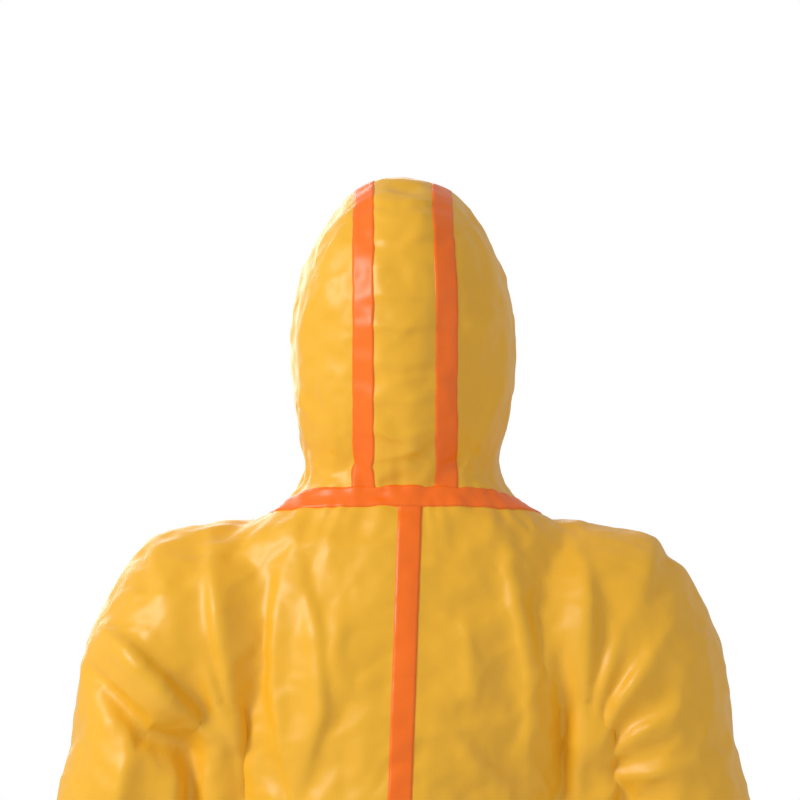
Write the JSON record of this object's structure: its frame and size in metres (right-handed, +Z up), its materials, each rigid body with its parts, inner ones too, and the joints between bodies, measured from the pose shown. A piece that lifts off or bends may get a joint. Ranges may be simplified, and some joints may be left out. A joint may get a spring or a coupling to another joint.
{
  "type": "hooded chemical protective coverall",
  "caption": "Hooded one-piece protective coverall in coated cloth with contrast welded seam tapes, front zip under a storm flap, and elastic face, cuff, waist and ankle hems.",
  "frame": {"origin": "middle of the suit's width and depth, on the plane of the ankle hems", "axes": "+Z up, the front faces -Y and the wearer's left is +X, as if worn standing"},
  "size_m": [0.668, 0.284, 1.726],
  "materials": {
    "coated_cloth": "yellow polymer-coated nonwoven, satin, finely embossed",
    "seam_tape": "orange welded barrier tape, satin",
    "gathered_cuff": "yellow cloth gathered on covered elastic",
    "webbing": "woven off-white elastic and zip tape",
    "zip_nylon": "yellow moulded nylon",
    "adhesive_liner": "white release liner over self-adhesive tape"
  },
  "bodies": {
    "trunk": {"back_panel_left": "coated_cloth", "back_panel_right": "coated_cloth", "centre_back_tape": "seam_tape", "front_panel_left": "coated_cloth", "front_panel_right": "coated_cloth", "inner_flap": "coated_cloth", "neck_panel": "coated_cloth", "neck_seam_tape": "seam_tape", "seat_panel": "coated_cloth", "shoulder_panel_left": "coated_cloth", "shoulder_panel_right": "coated_cloth", "side_seam_tape_left": "seam_tape", "side_seam_tape_right": "seam_tape", "waist_elastic": "webbing", "zip_bottom_stop": "zip_nylon", "zip_coil": "zip_nylon", "zip_tape_left": "webbing", "zip_tape_right": "webbing", "zip_top_stop": "zip_nylon"},
    "hood": {"hood_centre_panel": "coated_cloth", "hood_side_panel_left": "coated_cloth", "hood_side_panel_right": "coated_cloth", "hood_seam_tape_left": "seam_tape", "hood_seam_tape_right": "seam_tape", "face_elastic": "gathered_cuff"},
    "arm_upper_left": {"upper_sleeve_left": "coated_cloth", "upper_sleeve_tape_left": "seam_tape", "elbow_panel_left": "coated_cloth"},
    "arm_lower_left": {"forearm_sleeve_left": "coated_cloth", "forearm_tape_left": "seam_tape", "cuff_elastic_left": "gathered_cuff"},
    "leg_upper_left": {"thigh_leg_left": "coated_cloth", "thigh_tape_left": "seam_tape", "knee_panel_left": "coated_cloth"},
    "leg_lower_left": {"shin_leg_left": "coated_cloth", "shin_tape_left": "seam_tape", "ankle_elastic_left": "gathered_cuff"},
    "arm_upper_right": {"upper_sleeve_right": "coated_cloth", "upper_sleeve_tape_right": "seam_tape", "elbow_panel_right": "coated_cloth"},
    "arm_lower_right": {"forearm_sleeve_right": "coated_cloth", "forearm_tape_right": "seam_tape", "cuff_elastic_right": "gathered_cuff"},
    "leg_upper_right": {"thigh_leg_right": "coated_cloth", "thigh_tape_right": "seam_tape", "knee_panel_right": "coated_cloth"},
    "leg_lower_right": {"shin_leg_right": "coated_cloth", "shin_tape_right": "seam_tape", "ankle_elastic_right": "gathered_cuff"},
    "slider": {"zip_slider": "zip_nylon"},
    "pull": {"zip_pull": "zip_nylon"},
    "flap": {"storm_flap": "coated_cloth", "flap_adhesive_strip": "adhesive_liner"}
  },
  "joints": [
    {"name": "hood_nod", "type": "hinge", "parent": "trunk", "child": "hood", "pos_m": [0, 0.00339, 1.432], "axis": [1, 0, 0], "range_deg": [-20, 15], "deforming": ["neck_panel"]},
    {"name": "shoulder_left", "type": "hinge", "parent": "trunk", "child": "arm_upper_left", "pos_m": [0.19, 0.00339, 1.36], "axis": [0, -1, 0], "range_deg": [0, 80], "deforming": ["shoulder_panel_left"]},
    {"name": "elbow_left", "type": "hinge", "parent": "arm_upper_left", "child": "arm_lower_left", "pos_m": [0.26, 0.01139, 1.05], "axis": [-1, 0, 0], "range_deg": [0, 80], "deforming": ["elbow_panel_left"]},
    {"name": "hip_left", "type": "hinge", "parent": "trunk", "child": "leg_upper_left", "pos_m": [0.098, 0.00339, 0.84], "axis": [-1, 0, 0], "range_deg": [-15, 70], "deforming": ["seat_panel"]},
    {"name": "knee_left", "type": "hinge", "parent": "leg_upper_left", "child": "leg_lower_left", "pos_m": [0.104, 0.00339, 0.43], "axis": [1, 0, 0], "range_deg": [0, 85], "deforming": ["knee_panel_left"]},
    {"name": "shoulder_right", "type": "hinge", "parent": "trunk", "child": "arm_upper_right", "pos_m": [-0.19, 0.00339, 1.36], "axis": [0, 1, 0], "range_deg": [0, 80], "deforming": ["shoulder_panel_right"]},
    {"name": "elbow_right", "type": "hinge", "parent": "arm_upper_right", "child": "arm_lower_right", "pos_m": [-0.26, 0.01139, 1.05], "axis": [-1, 0, 0], "range_deg": [0, 80], "deforming": ["elbow_panel_right"]},
    {"name": "hip_right", "type": "hinge", "parent": "trunk", "child": "leg_upper_right", "pos_m": [-0.098, 0.00339, 0.84], "axis": [-1, 0, 0], "range_deg": [-15, 70], "deforming": ["seat_panel"]},
    {"name": "knee_right", "type": "hinge", "parent": "leg_upper_right", "child": "leg_lower_right", "pos_m": [-0.104, 0.00339, 0.43], "axis": [1, 0, 0], "range_deg": [0, 85], "deforming": ["knee_panel_right"]},
    {"name": "zip_travel", "type": "slide", "parent": "trunk", "child": "slider", "axis": [0, -0.0599, -0.9982], "range_m": [0, 0.63]},
    {"name": "pull_swing", "type": "hinge", "parent": "slider", "child": "pull", "pos_m": [0, -0.09373, 1.41272], "axis": [-1, 0, 0], "range_deg": [0, 12]},
    {"name": "flap_fold", "type": "hinge", "parent": "trunk", "child": "flap", "pos_m": [0.033, -0.10987, 1.09487], "axis": [0, 0.0599, 0.9982], "range_deg": [0, 160]}
  ]
}
